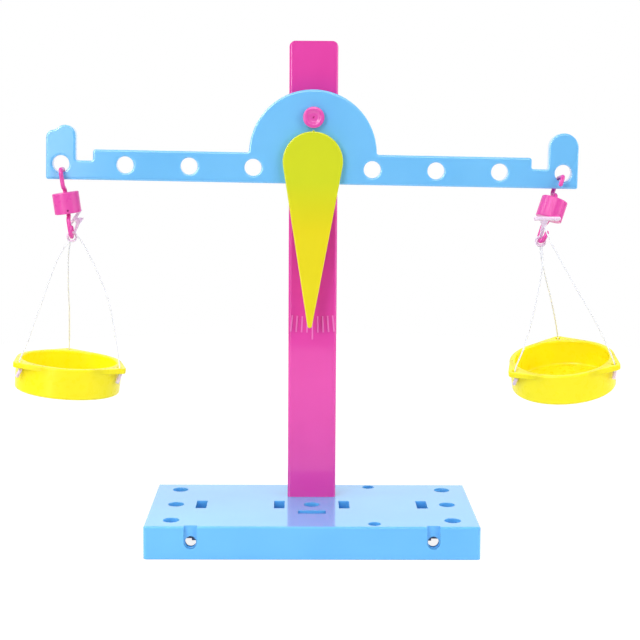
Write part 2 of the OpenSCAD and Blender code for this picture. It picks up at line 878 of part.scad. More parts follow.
module left_hanger_tag() {
    translate(left_hook_foot)
        hanger_tag(left_tag_lean, left_web_shift, 0, left_bar_turn);
}

module right_hanger_tag() {
    translate(right_hook_foot)
        hanger_tag(right_tag_lean, 0, right_bar_shift, 0);
}

// Sweeps a round tube along a route, as one closed polyhedron
function unit(v) = v / norm(v);
function route_way(route, i) =
    unit(route[min(i + 1, len(route) - 1)] - route[max(i - 1, 0)]);
function ring_points(route, i, d) =
    let (
        way = route_way(route, i),
        across = unit(cross(way, [0, 1, 0])),
        up = cross(across, way)
    )
    [
        for (k = [0 : FILAMENT_SIDES - 1])
            let (a = 360 * k / FILAMENT_SIDES)
                route[i] + d / 2 * (across * cos(a) + up * sin(a))
    ];

module swept_tube(route, d) {
    sides = FILAMENT_SIDES;
    last = len(route) - 1;
    points = [for (i = [0 : last]) each ring_points(route, i, d)];
    walls = [
        for (i = [0 : last - 1], k = [0 : sides - 1])
            let (
                a = i * sides + k,
                b = i * sides + (k + 1) % sides
            )
                [a, b, b + sides, a + sides]
    ];
    start_cap = [for (k = [sides - 1 : -1 : 0]) k];
    end_cap = [for (k = [0 : sides - 1]) last * sides + k];
    polyhedron(points, concat(walls, [start_cap, end_cap]));
}

module filament(route) {
    color(CLEAR_NYLON)
        swept_tube(route, filament_d);
}

module left_filament(route, ear) {
    filament(tied(route, left_hook_foot - LEFT_ROUTE_FOOT, left_toggle_place(ear)));
}

module right_filament(route, ear) {
    filament(tied(route, right_hook_foot - RIGHT_ROUTE_FOOT, right_toggle_place(ear)));
}

module left_outer_filament() { left_filament(LEFT_OUTER_ROUTE, ear_left_angle); }
module left_back_filament() { left_filament(LEFT_BACK_ROUTE, ear_back_angle); }
module left_inner_filament() { left_filament(LEFT_INNER_ROUTE, ear_right_angle); }
module right_outer_filament() { right_filament(RIGHT_OUTER_ROUTE, ear_right_angle); }
module right_back_filament() { right_filament(RIGHT_BACK_ROUTE, ear_back_angle); }
module right_inner_filament() { right_filament(RIGHT_INNER_ROUTE, ear_left_angle); }

module hung(rim, angles) {
    translate(rim)
        rotate([0, angles[1], 0])
            rotate([angles[0], 0, 0])
                rotate([0, 0, angles[2]])
                    children();
}

module on_left_pan() {
    hung(left_rim, left_pan_angles)
        children();
}

module on_right_pan() {
    hung(right_rim, right_pan_angles)
        children();
}

// A bar that the filament's end carries under an ear
module toggle(ear) {
    color(CLEAR_NYLON)
        rotate([0, 0, ear])
            translate([ear_x, 0, -toggle_drop])
                rotate([toggle_slope - 90, 0, 0])
                    cylinder(d = toggle_d, h = toggle_l, center = true);
}

module left_outer_toggle() { on_left_pan() toggle(ear_left_angle); }
module left_back_toggle() { on_left_pan() toggle(ear_back_angle); }
module left_inner_toggle() { on_left_pan() toggle(ear_right_angle); }
module right_outer_toggle() { on_right_pan() toggle(ear_right_angle); }
module right_back_toggle() { on_right_pan() toggle(ear_back_angle); }
module right_inner_toggle() { on_right_pan() toggle(ear_left_angle); }

// Half section of the cup, outside and inside
module cup_section() {
    difference() {
        union() {
            square([pan_d / 2 - pan_edge, pan_h]);
            translate([0, pan_edge])
                square([pan_d / 2, pan_h - pan_edge]);
            translate([pan_d / 2 - pan_edge, pan_edge])
                circle(pan_edge);
        }
        translate([0, pan_floor])
            square([pan_d / 2 - pan_wall, pan_h]);
        translate([-pan_d, 0])
            square([pan_d, pan_h]);
    }
}

// A pan with the middle of its rim at the origin
module pan() {
    ears = [ear_back_angle, ear_left_angle, ear_right_angle];
    color(PAN_YELLOW)
        difference() {
            union() {
                translate([0, 0, -pan_h])
                    rotate_extrude($fn = 96)
                        cup_section();
                translate([0, 0, -flange_t])
                    linear_extrude(flange_t)
                        difference() {
                            for (ear = ears)
                                rotate(ear)
                                    tapered_outline(flange_r, ear_r, ear_x);
                            circle(pan_d / 2 - pan_wall);
                        }
            }
            for (ear = ears)
                rotate([0, 0, ear])
                    translate([ear_x, 0, -flange_t - overrun])
                        cylinder(d = ear_hole_d, h = flange_t + 2 * overrun);
        }
}

module left_pan() { on_left_pan() pan(); }
module right_pan() { on_right_pan() pan(); }

base();
column();
pivot_pin();
beam();
pointer();
left_weight();
right_weight();
left_hanger_tag();
right_hanger_tag();
left_outer_filament();
left_back_filament();
left_inner_filament();
right_outer_filament();
right_back_filament();
right_inner_filament();
left_outer_toggle();
left_back_toggle();
left_inner_toggle();
right_outer_toggle();
right_back_toggle();
right_inner_toggle();
left_pan();
right_pan();
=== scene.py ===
import bpy, bmesh, math
from mathutils import Matrix, Vector
from mathutils.geometry import tessellate_polygon


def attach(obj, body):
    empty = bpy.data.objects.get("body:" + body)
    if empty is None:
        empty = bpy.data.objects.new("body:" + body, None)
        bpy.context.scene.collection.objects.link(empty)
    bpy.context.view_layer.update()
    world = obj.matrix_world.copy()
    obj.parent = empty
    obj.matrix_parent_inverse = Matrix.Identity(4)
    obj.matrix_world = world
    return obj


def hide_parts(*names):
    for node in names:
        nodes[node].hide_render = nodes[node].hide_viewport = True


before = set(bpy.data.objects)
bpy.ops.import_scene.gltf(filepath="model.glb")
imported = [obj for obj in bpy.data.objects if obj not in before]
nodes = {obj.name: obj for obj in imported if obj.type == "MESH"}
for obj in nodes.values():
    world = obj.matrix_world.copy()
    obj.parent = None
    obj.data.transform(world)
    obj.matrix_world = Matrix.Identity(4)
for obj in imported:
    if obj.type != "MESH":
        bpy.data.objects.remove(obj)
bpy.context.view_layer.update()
scene = bpy.context.scene

# Camera: the photograph's own, a little above the pivot and looking slightly down
EYE = Vector((-0.005651, -0.653635, 0.202432))
PITCH, ROLL, TURN = math.radians(5.0), math.radians(0.3460), math.radians(0.7732)
SENSOR_MM, LENS_MM, SHIFT_Y = 36.0, 79.182, -0.1391


def make_camera():
    ahead = Vector((math.sin(TURN) * math.cos(PITCH), math.cos(TURN) * math.cos(PITCH), -math.sin(PITCH)))
    right = Vector((math.cos(TURN), -math.sin(TURN), 0))
    up = right.cross(ahead)
    x = right * math.cos(ROLL) + up * math.sin(ROLL)
    y = up * math.cos(ROLL) - right * math.sin(ROLL)
    data = bpy.data.cameras.new("camera")
    data.sensor_width, data.lens, data.shift_y = SENSOR_MM, LENS_MM, SHIFT_Y
    camera = bpy.data.objects.new("camera", data)
    camera.matrix_world = Matrix.Translation(EYE) @ Matrix((x, y, -ahead)).transposed().to_4x4()
    scene.collection.objects.link(camera)
    scene.camera = camera


make_camera()


# Node helpers
def tree_of(name):
    """A new material and its empty node tree."""
    mat = bpy.data.materials.new(name)
    mat.use_nodes = True
    tree = mat.node_tree
    tree.nodes.clear()
    return mat, tree


def add(tree, kind, inputs=None, **settings):
    """A new node. Each of its inputs is given as a socket to link or as the value to hold."""
    node = tree.nodes.new(kind)
    for key, value in settings.items():
        setattr(node, key, value)
    for key, value in (inputs or {}).items():
        if isinstance(value, bpy.types.NodeSocket):
            tree.links.new(value, node.inputs[key])
        else:
            node.inputs[key].default_value = value
    return node


def lin(r, g, b):
    """Colour given as 0 to 255 screen values, in linear light."""
    def one(c):
        c /= 255.0
        return c / 12.92 if c <= 0.04045 else ((c + 0.055) / 1.055) ** 2.4
    return (one(r), one(g), one(b), 1.0)


def grey(level):
    return (level, level, level, 1)


def object_coordinates(tree):
    return add(tree, "ShaderNodeTexCoord").outputs["Object"]


def noise(tree, coord, scale, detail=2.0, rough=0.5):
    node = add(tree, "ShaderNodeTexNoise",
               {"Vector": coord, "Scale": scale, "Detail": detail, "Roughness": rough})
    return node.outputs["Fac"]


def remap(tree, value, a, b, low=0.3, high=0.7):
    """Takes low to a and high to b. Most of a noise lies between 0.3 and 0.7."""
    node = add(tree, "ShaderNodeMapRange",
               {"Value": value, "From Min": low, "From Max": high, "To Min": a, "To Max": b})
    return node.outputs["Result"]


def calculate(tree, operation, *values):
    return add(tree, "ShaderNodeMath", dict(enumerate(values)), operation=operation).outputs[0]


# Where a Mix node has its sockets for colours
MIX_FACTOR, MIX_A, MIX_B, MIX_RESULT = 0, 6, 7, 2


def mix_colour(tree, factor, a, b):
    node = add(tree, "ShaderNodeMix", {MIX_FACTOR: factor, MIX_A: a, MIX_B: b}, data_type="RGBA")
    return node.outputs[MIX_RESULT]


def band_mask(tree, coord, axis, low, high):
    """0 below one level of an axis and 1 above the other."""
    axes = add(tree, "ShaderNodeSeparateXYZ", {"Vector": coord})
    return remap(tree, axes.outputs[axis], 0.0, 1.0, low, high)


SPOT_SOFTNESS = 0.25


def spot_mask(tree, coord, point, radius):
    """1 inside a small ball round a point of the frame at rest, 0 outside it."""
    away = add(tree, "ShaderNodeVectorMath", {0: coord, 1: point}, operation="DISTANCE").outputs["Value"]
    return remap(tree, away, 1.0, 0.0, radius * (1 - SPOT_SOFTNESS), radius * (1 + SPOT_SOFTNESS))


# Textures of the plastics, as noise scales, from the slow drift of the colour to the fine skin
DRIFT_SCALE, WAVE_SCALE, FLOW_SCALE, ROUGH_SCALE, SKIN_SCALE = 22.0, 90.0, 140.0, 320.0, 2600.0
FLOW_SHARE, FLOW_FROM, FLOW_TO, FLOW_ROUGH = 0.10, 0.45, 0.75, 0.6
ROUGH_LEAST, ROUGH_MOST = 0.8, 1.35
# Heights of a wave and of a spot's dip, as multiples of the skin's
WAVE_HEIGHT, DIP_HEIGHT = 3.0, -8.0
SKIN_STRENGTH, SKIN_DEPTH, BEVEL_SAMPLES = 0.08, 0.00002, 6
# Textures of the nylon
CLOUD_SCALE, NYLON_ROUGH_SCALE, NYLON_SKIN_SCALE = 500.0, 900.0, 1500.0
NYLON_GLOW_RADIUS, NYLON_GLOW_DEPTH = (1.0, 0.95, 1.0), 0.001


def plastic(name, colour, shade, glow_radius, rough=0.13, glow=0.06, glow_depth=0.0015, spots=(), band=None,
            ior=1.35, coat=1.0, gloss=1.35, edge=0.0003, sheen=0.05):
    """Moulded plastic: slow colour drift, flow marks, a fine skin on the surface, some light let in.

    glow: share of the light that is let in; gloss and sheen: the coat's IOR and roughness;
    edge: radius of the edges in the shading; band: a tint of painted light from one level of an axis to
    another;
    spots: small tinted dips.
    """
    mat, tree = tree_of(name)
    coord = object_coordinates(tree)
    drift = remap(tree, noise(tree, coord, DRIFT_SCALE, 3.0), 0.0, 1.0)
    col = mix_colour(tree, drift, colour, shade)
    flow = noise(tree, coord, FLOW_SCALE, 4.0, FLOW_ROUGH)
    col = mix_colour(tree, remap(tree, flow, 0.0, FLOW_SHARE, FLOW_FROM, FLOW_TO), col, shade)
    if band:
        axis, low, high, tint = band
        col = mix_colour(tree, band_mask(tree, coord, axis, low, high), col, tint)
    height = calculate(tree, "MULTIPLY_ADD", noise(tree, coord, WAVE_SCALE), WAVE_HEIGHT,
                       noise(tree, coord, SKIN_SCALE))
    for point, radius, tint in spots:
        mask = spot_mask(tree, coord, point, radius)
        col = mix_colour(tree, mask, col, tint)
        height = calculate(tree, "MULTIPLY_ADD", mask, DIP_HEIGHT, height)
    bump = add(tree, "ShaderNodeBump", {"Strength": SKIN_STRENGTH, "Distance": SKIN_DEPTH, "Height": height})
    if edge:
        bevel = add(tree, "ShaderNodeBevel", {"Radius": edge}, samples=BEVEL_SAMPLES)
        tree.links.new(bevel.outputs[0], bump.inputs["Normal"])
    roughness = remap(tree, noise(tree, coord, ROUGH_SCALE, 3.0), rough * ROUGH_LEAST, rough * ROUGH_MOST)
    shader = add(tree, "ShaderNodeBsdfPrincipled", {
        "Base Color": col, "Roughness": roughness, "Normal": bump.outputs[0], "IOR": ior,
        "Coat Weight": coat, "Coat Roughness": sheen, "Coat IOR": gloss,
        "Subsurface Weight": glow, "Subsurface Radius": glow_radius, "Subsurface Scale": glow_depth,
    })
    add(tree, "ShaderNodeOutputMaterial", {"Surface": shader.outputs[0]})
    return mat


def nylon(name, pale, shade, clear, glow, rough, ior, skin):
    """Milky nylon: a cloudy colour and a fine skin. clear: share of the light that passes through."""
    mat, tree = tree_of(name)
    coord = object_coordinates(tree)
    cloud = remap(tree, noise(tree, coord, CLOUD_SCALE, 3.0), 0.0, 1.0)
    bump = add(tree, "ShaderNodeBump",
               {"Strength": skin, "Distance": SKIN_DEPTH, "Height": noise(tree, coord, NYLON_SKIN_SCALE)})
    shader = add(tree, "ShaderNodeBsdfPrincipled", {
        "Base Color": mix_colour(tree, cloud, pale, shade),
        "Roughness": remap(tree, noise(tree, coord, NYLON_ROUGH_SCALE), *rough),
        "Normal": bump.outputs[0], "IOR": ior, "Transmission Weight": clear, "Subsurface Weight": glow,
        "Subsurface Radius": NYLON_GLOW_RADIUS, "Subsurface Scale": NYLON_GLOW_DEPTH,
    })
    add(tree, "ShaderNodeOutputMaterial", {"Surface": shader.outputs[0]})
    return mat


# Which colours of light go how deep into a plastic
BLUE_GLOW, PINK_GLOW, WEIGHT_GLOW = (0.4, 0.7, 1.0), (1.0, 0.3, 0.7), (1.0, 0.4, 0.8)
POINTER_GLOW, PAN_GLOW = (1.0, 0.9, 0.2), (1.0, 0.9, 0.15)
# The scale marks stand in front of the column's face, between these levels of y, and carry a painted
# highlight: a lighter pink on their fronts
MARKS_PAINTED_HIGHLIGHT = ("Y", 0.01308, 0.01290, lin(243, 118, 197))
# The pointer is greener towards its head, between these levels of z: painted light, the blue of the beam's
# hub behind it showing through the yellow
HEAD_PAINTED_HUB_LIGHT = ("Z", 0.145, 0.168, lin(212, 220, 38))
# The gate mark on the left weight's front
GATE_MARK = ((-0.11462, 0.00353, 0.15378), 0.00045, lin(120, 20, 70))

# One blue plastic in two copies: the base's is painted darker as shade and the beam's lighter as painted
# light, since the upper part gets more light
BLUE = plastic("blue_plastic", lin(106, 191, 250), lin(98, 183, 245), BLUE_GLOW, edge=0.0007)
LIT_BEAM_BLUE = plastic("beam_blue_plastic", lin(120, 198, 252), lin(110, 190, 247), BLUE_GLOW, ior=1.42,
                    gloss=1.5, edge=0, sheen=0.12)
PIN = plastic("pin_plastic", lin(234, 90, 182), lin(226, 80, 174), PINK_GLOW, edge=0)
COLUMN = plastic("column_plastic", lin(233, 72, 172), lin(225, 62, 162), PINK_GLOW, edge=0.0002,
                 band=MARKS_PAINTED_HIGHLIGHT)
POINTER = plastic("pointer_plastic", lin(238, 222, 36), lin(230, 214, 26), POINTER_GLOW, glow=0.12, edge=0,
                  band=HEAD_PAINTED_HUB_LIGHT)
YELLOW = plastic("yellow_plastic", lin(252, 237, 28), lin(246, 228, 17), PAN_GLOW, rough=0.28, glow=0.18,
                 glow_depth=0.003, ior=1.3, coat=0.25, edge=0, sheen=0.3)
WEIGHT = plastic("pink_weight_plastic", lin(232, 84, 176), lin(222, 70, 164), WEIGHT_GLOW, rough=0.3,
                 coat=0.3, glow=0.12, spots=[GATE_MARK])
NYLON = nylon("clear_nylon", lin(243, 224, 243), lin(237, 214, 238), clear=0.12, glow=0.2,
              rough=(0.16, 0.30), ior=1.3, skin=0.04)
LINE_NYLON = nylon("line_nylon", lin(236, 238, 243), lin(232, 233, 238), clear=0.0, glow=0.0,
                   rough=(0.5, 0.6), ior=1.2, skin=0.02)

# The solids' materials; the tags, toggles and filaments are nylon
MATERIALS = {
    "base": BLUE, "beam": BLUE, "column": COLUMN, "pivot_pin": PIN, "pointer": POINTER,
    "left_weight": WEIGHT, "right_weight": WEIGHT, "left_pan": YELLOW, "right_pan": YELLOW,
}


def dress(data, mat):
    data.materials.clear()
    data.materials.append(mat)


def add_piece(name, data, mat, body, node):
    """A new piece on a body, which stands for one of the solids."""
    obj = bpy.data.objects.new(name, data)
    scene.collection.objects.link(obj)
    dress(data, mat)
    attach(obj, body)
    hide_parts(node)
    return obj


# Plates with real rounded edges, cut round the outlines of their solids
SAME_PLACE = 2e-6
CORNER_FROM, CORNER_SHARE, CORNER_STEPS = math.radians(25), 0.45, 6
FRONT_STEPS, BACK_STEPS = 7, 3


class Shell:
    """A surface in the making: its points, its faces and where it looks at each point."""

    def __init__(self):
        self.verts, self.faces, self.normals = [], [], []

    def add(self, place, look):
        self.verts.append(place)
        self.normals.append(look)

    def move(self, first, matrix):
        """Moves all points from the first one given."""
        turn = matrix.to_3x3()
        for i in range(first, len(self.verts)):
            self.verts[i] = tuple(matrix @ Vector(self.verts[i]))
            self.normals[i] = tuple(turn @ Vector(self.normals[i]))

    def piece(self, name, mat, body, node):
        mesh = bpy.data.meshes.new(name)
        mesh.from_pydata(self.verts, [], self.faces)
        mesh.validate()
        mesh.shade_smooth()
        mesh.normals_split_custom_set_from_vertices(self.normals)
        add_piece(name, mesh, mat, body, node)


def flat_loops(obj, level):
    """Edge loops, as (x, z) points, of the faces that a solid has in the plane y = level."""
    bm = bmesh.new()
    bm.from_mesh(obj.data)
    bmesh.ops.remove_doubles(bm, verts=bm.verts, dist=SAME_PLACE)
    faces = {f for f in bm.faces if all(abs(v.co.y - level) < SAME_PLACE for v in f.verts)}
    around = {}
    for edge in bm.edges:
        if sum(f in faces for f in edge.link_faces) == 1:
            for v, other in (edge.verts, reversed(edge.verts)):
                around.setdefault(v, []).append(other)
    loops, used = [], set()
    for first in around:
        if first in used:
            continue
        loop, last, here = [first], first, around[first][0]
        used.add(first)
        while here is not first:
            loop.append(here)
            used.add(here)
            last, here = here, next(v for v in around[here] if v is not last)
        loops.append([Vector((v.co.x, v.co.z)) for v in loop])
    bm.free()
    return loops


def signed_area(loop):
    return sum(a.x * b.y - b.x * a.y for a, b in zip(loop, loop[1:] + loop[:1])) / 2


def round_corners(loop, radius):
    """Puts an arc in every corner that turns by more than CORNER_FROM."""
    out = []
    for i, here in enumerate(loop):
        a, b = loop[i - 1] - here, loop[(i + 1) % len(loop)] - here
        turn = math.pi - a.angle(b)
        if turn < CORNER_FROM:
            out.append(here)
            continue
        reach = min(radius * math.tan(turn / 2), CORNER_SHARE * a.length, CORNER_SHARE * b.length)
        a.normalize()
        b.normalize()
        start, end = here + a * reach, here + b * reach
        bend = reach / math.tan(turn / 2)
        centre = here + (a + b).normalized() * math.hypot(bend, reach)
        u, v = start - centre, end - centre
        sweep = math.atan2(u.x * v.y - u.y * v.x, u.dot(v))
        for k in range(CORNER_STEPS + 1):
            c, s = math.cos(sweep * k / CORNER_STEPS), math.sin(sweep * k / CORNER_STEPS)
            out.append(centre + Vector((u.x * c - u.y * s, u.x * s + u.y * c)))
    return out


def outward(loop):
    """Unit directions, in the plane, that leave the material at each point of a loop."""
    out = []
    for i, here in enumerate(loop):
        a, b = here - loop[i - 1], loop[(i + 1) % len(loop)] - here
        n = Vector((a.y, -a.x)).normalized() + Vector((b.y, -b.x)).normalized()
        out.append(n.normalized())
    return out


def profile(width, depth, steps):
    """From the wall to the face: how far in, how deep and which way the surface looks."""
    out = []
    for k in range(steps + 1):
        t = math.pi / 2 * k / steps
        look = Vector((depth * math.cos(t), width * math.sin(t))).normalized()
        out.append((width * (1 - math.cos(t)), depth * (1 - math.sin(t)), look.x, look.y))
    return out


def plate_rings(shell, loop, front, back, at_front, at_back):
    """Rings of points from the front face over both rounded edges to the back face."""
    sides = outward(loop)
    steps = [(inset, front + depth, side, -face)
             for inset, depth, side, face in reversed(profile(*at_front, FRONT_STEPS))]
    steps += [(inset, back - depth, side, face)
              for inset, depth, side, face in profile(*at_back, BACK_STEPS)]
    rings = []
    for inset, y, side, face in steps:
        rings.append(len(shell.verts))
        for point, n in zip(loop, sides):
            q = point - n * inset
            shell.add((q.x, y, q.y), (n.x * side, face, n.y * side))
    return rings


def rounded_plate(shell, loops, front, back, at_front, at_back, corner):
    """A closed plate between two planes, with its holes.

    at_front, at_back: how far the rounded edges go in from the wall and down from the face.
    corner: radius of the outline's corners.
    """
    ringed = []
    for i, loop in enumerate(sorted(loops, key=lambda outline: -abs(signed_area(outline)))):
        loop = round_corners(loop, corner)
        if (signed_area(loop) > 0) == (i > 0):
            loop.reverse()
        rings = plate_rings(shell, loop, front, back, at_front, at_back)
        count = len(loop)
        for a, b in zip(rings, rings[1:]):
            for k in range(count):
                j = (k + 1) % count
                shell.faces.append((a + k, b + k, b + j, a + j))
        ringed.append((rings[0], rings[-1], count))
    for end, flip in ((0, False), (1, True)):
        index = [ring[end] + k for ring in ringed for k in range(ring[2])]
        flat = [[Vector((shell.verts[ring[end] + k][0], shell.verts[ring[end] + k][2], 0))
                 for k in range(ring[2])] for ring in ringed]
        for tri in tessellate_polygon(flat):
            a, b, c = (Vector((shell.verts[index[t]][0], shell.verts[index[t]][2])) for t in tri)
            up = (b - a).cross(c - a) > 0
            tri = tri if up != flip else tuple(reversed(tri))
            shell.faces.append(tuple(index[t] for t in tri))


def levels(obj):
    """The planes of y in which a solid has points, from front to back."""
    return sorted({round(v.co.y, 5) for v in obj.data.vertices})


# Edges of the beam and of the pointer's plate and peg, and the radii of their outlines' corners
BEAM_FRONT_EDGE, BEAM_BACK_EDGE, BEAM_CORNER = (0.00118, 0.0005), (0.0003, 0.0003), 0.0012
POINTER_FRONT_EDGE, POINTER_BACK_EDGE, POINTER_CORNER = (0.0006, 0.0005), (0.0002, 0.0002), 0.0007
PEG_FRONT_EDGE, PEG_BACK_EDGE, PEG_CORNER = (0.0002, 0.0002), (0.0004, 0.0004), 0.0
PEG_ROOT = 0.0005


def make_beam():
    solid = nodes["beam"]
    front, back = levels(solid)
    shell = Shell()
    rounded_plate(shell, flat_loops(solid, front), front, back, BEAM_FRONT_EDGE, BEAM_BACK_EDGE, BEAM_CORNER)
    shell.piece("rounded_beam", LIT_BEAM_BLUE, "rocker", "beam")


def make_pointer():
    """The plate, and a peg behind it that starts inside it."""
    solid = nodes["pointer"]
    front, middle, back = levels(solid)
    shell = Shell()
    rounded_plate(shell, flat_loops(solid, front), front, middle,
                  POINTER_FRONT_EDGE, POINTER_BACK_EDGE, POINTER_CORNER)
    rounded_plate(shell, flat_loops(solid, back), middle - PEG_ROOT, back,
                  PEG_FRONT_EDGE, PEG_BACK_EDGE, PEG_CORNER)
    shell.piece("rounded_pointer", POINTER, "rocker", "pointer")


# Pans: a turned cup with a round rim, and three ears that leave its wall along tangents
CUP_R, CUP_FOOT_R, CUP_WALL, CUP_H, CUP_FLOOR, CUP_AROUND = 0.025, 0.02465, 0.00275, 0.0145, 0.002, 144
RIM_R, CUP_EDGE, CUP_FILLET = 0.0008, 0.0012, 0.0015
EAR_X, EAR_R, EAR_HOLE_R, EAR_TOP, EAR_T = 0.0266, 0.003, 0.0012, 0.00002, 0.0025
EAR_FROM, EAR_ROOT = 0.0248, 0.0234
EAR_TOP_EDGE, EAR_UNDER_EDGE, EAR_CORNER = (0.00045, 0.00045), (0.0003, 0.0003), 0.0003
EARS = (90, 210, 330)
# A plate's front to the top
LYING = Matrix(((1, 0, 0, 0), (0, 0, 1, 0), (0, -1, 0, 0), (0, 0, 0, 1)))
# Middle of each pan's rim, its turns about x, y and z in degrees, and its body
PANS = {
    "left_pan": ((-0.115424, 0.0097, 0.08255), (0.0, 5.2, 10.0), "left_hanger"),
    "right_pan": ((0.119253, 0.0097, 0.084455), (10.0, -6.9, -7.0), "right_hanger"),
}


def polar(cx, cy, r, angle):
    """A point of a circle and the direction it looks in; the angle in degrees."""
    c, s = math.cos(math.radians(angle)), math.sin(math.radians(angle))
    return (cx + r * c, cy + r * s, c, s)


def arc(cx, cy, r, start, end, steps):
    return [polar(cx, cy, r, start + (end - start) * k / steps) for k in range(steps + 1)]


def cup_section():
    """Half section from the middle of the floor over the rim to the middle of the underside."""
    inner, floor = CUP_R - CUP_WALL, CUP_FLOOR - CUP_H
    fillet = arc(inner - CUP_FILLET, floor + CUP_FILLET, CUP_FILLET, -90, 0, 8)
    out = [(x, z, -nx, -nz) for x, z, nx, nz in fillet]
    out += arc(inner + RIM_R, -RIM_R, RIM_R, 180, 90, 10)
    out += arc(CUP_R - RIM_R, -RIM_R, RIM_R, 90, 0, 10)
    out += arc(CUP_FOOT_R - CUP_EDGE, CUP_EDGE - CUP_H, CUP_EDGE, 0, -90, 10)
    return [(0, floor, 0, 1)] + out + [(0, -CUP_H, 0, -1)]


def lathe(shell, section, around):
    """A closed form turned round the z axis; the section starts and ends on the axis."""
    base = len(shell.verts)
    for x, z, nx, nz in section[1:-1]:
        for k in range(around):
            c, s = math.cos(2 * math.pi * k / around), math.sin(2 * math.pi * k / around)
            shell.add((x * c, x * s, z), (nx * c, nx * s, nz))
    floor = len(shell.verts)
    under = floor + 1
    for x, z, nx, nz in (section[0], section[-1]):
        shell.add((x, 0, z), (nx, 0, nz))
    rows = len(section) - 2
    for k in range(around):
        j = (k + 1) % around
        shell.faces.append((base + k, base + j, floor))
        for i in range(rows - 1):
            a, b = base + i * around, base + (i + 1) * around
            shell.faces.append((a + k, b + k, b + j, a + j))
        a = base + (rows - 1) * around
        shell.faces.append((a + j, a + k, under))


def ear_loops():
    """Outline and hole of an ear that points along x."""
    touch = math.degrees(math.acos((EAR_FROM - EAR_R) / EAR_X))
    outline = [polar(0, 0, EAR_FROM, -touch)] + arc(EAR_X, 0, EAR_R, -touch, touch, 28)
    outline += [polar(0, 0, EAR_FROM, touch)] + arc(0, 0, EAR_ROOT, touch, -touch, 24)
    hole = arc(EAR_X, 0, EAR_HOLE_R, 0, 345, 23)
    return [[Vector(p[:2]) for p in loop] for loop in (outline, hole)]


def turned(axis, angle):
    return Matrix.Rotation(math.radians(angle), 4, axis)


def make_pan(name):
    rim, (about_x, about_y, about_z), body = PANS[name]
    place = Matrix.Translation(rim) @ turned("Y", about_y) @ turned("X", about_x) @ turned("Z", about_z)
    shell = Shell()
    lathe(shell, cup_section(), CUP_AROUND)
    shell.move(0, place)
    for ear in EARS:
        first = len(shell.verts)
        rounded_plate(shell, ear_loops(), EAR_TOP, EAR_T, EAR_TOP_EDGE, EAR_UNDER_EDGE, EAR_CORNER)
        shell.move(first, place @ (turned("Z", ear) @ LYING))
    shell.piece(name.replace("pan", "cup"), YELLOW, body, name)


# Filaments: the solids' routes, in millimetres, made smooth
ROUTES = {
    "left_outer": [(-115, 9.5, 139), (-118.5, 7, 134), (-122.2, 3.5, 125), (-126, 0.5, 113),
                   (-129.8, -3, 101.5), (-133, -6, 91.5), (-135.6, -7.4, 85.4), (-136.2, -7.4, 79.2)],
    "left_back": [(-114.5, 9.5, 139), (-115.8, 12.5, 133.5), (-116.9, 16.5, 126), (-117.8, 22.5, 114.5),
                  (-118.4, 28, 103.5), (-119.2, 32.5, 94), (-119.9, 35.9, 84.2), (-120.5, 35.9, 77.8)],
    "left_inner": [(-112, 9.6, 142), (-109.3, 9.3, 139.1), (-106.4, 8.6, 134.2), (-101, 7.2, 123.3),
                   (-96.6, 5.6, 112.2), (-94, 4.2, 101), (-90.6, 0.6, 81.4), (-91, 0.6, 75.1)],
    "right_outer": [(107.8, -0.8, 148), (110.3, -2.2, 141.6), (114.3, -2.6, 134.4), (119, -3.1, 126),
                    (123.5, -3.7, 118), (132, -5, 103.6), (140.5, -6.2, 85.6), (141.3, -5.2, 79.1)],
    "right_back": [(106.8, 3.3, 138.4), (107.6, 5.5, 133.5), (109.8, 10, 126.5), (112.4, 15.2, 119.2),
                   (115.3, 20.6, 111.5), (119.2, 28.8, 99.5), (121.8, 35.5, 90.4), (122.5, 36.6, 84.3)],
    "right_inner": [(107.5, 3, 138.4), (107.9, 2.5, 131.5), (107.2, 2.1, 124), (105.4, 1.6, 113.5),
                    (102.6, 1, 101.5), (99.3, 0.2, 90), (95.6, -0.5, 80.8), (95.8, 0.4, 74.6)],
}
FILAMENT_D, ROUTE_STEPS = 0.0007, 5


def smooth_route(points):
    """A smooth curve, in metres, through all points of a route."""
    p = [Vector(q) / 1000.0 for q in points]
    p = [p[0] * 2 - p[1]] + p + [p[-1] * 2 - p[-2]]
    out = []
    for i in range(1, len(p) - 2):
        a, b, c, d = p[i - 1], p[i], p[i + 1], p[i + 2]
        for k in range(ROUTE_STEPS):
            t = k / ROUTE_STEPS
            out.append(0.5 * ((2 * b) + (c - a) * t + (2 * a - 5 * b + 4 * c - d) * t * t
                              + (3 * b - 3 * c + d - a) * t ** 3))
    out.append(p[-2])
    return out


def make_filament(name, route):
    side = name.split("_")[0]
    pts = smooth_route(route)
    data = bpy.data.curves.new(name + "_line", "CURVE")
    data.dimensions = "3D"
    data.bevel_depth = FILAMENT_D / 2
    data.bevel_resolution = 4
    data.use_fill_caps = True
    spline = data.splines.new("POLY")
    spline.points.add(len(pts) - 1)
    for q, v in zip(spline.points, pts):
        q.co = (v.x, v.y, v.z, 1.0)
    obj = add_piece(name + "_line", data, LINE_NYLON, side + "_hanger", name + "_filament")


# Small mouldings with melted corners: voxel size, rounds of smoothing, and how much slimmer they get
TAG_VOXEL, TAG_ROUNDS, TAG_SLIMMER = 0.00014, 4, {"left": 0.0002, "right": 0.00005}
TOGGLE_VOXEL, TOGGLE_ROUNDS, TOGGLE_SLIMMER = 0.00016, 8, 0.0001
PIN_VOXEL, PIN_ROUNDS = 0.00014, 4


def soften(obj, voxel, rounds):
    remesh = obj.modifiers.new("remesh", "REMESH")
    remesh.mode = "VOXEL"
    remesh.voxel_size = voxel
    remesh.use_smooth_shade = True
    soft = obj.modifiers.new("soft", "SMOOTH")
    soft.factor = 0.5
    soft.iterations = rounds


def make_melted(node, name, side, voxel, rounds, slimmer):
    """A tag or a toggle, as one soft moulding."""
    obj = add_piece(name, nodes[node].data.copy(), NYLON, side + "_hanger", node)
    soften(obj, voxel, rounds)
    slim = obj.modifiers.new("slim", "DISPLACE")
    slim.mid_level = 0.0
    slim.strength = -slimmer


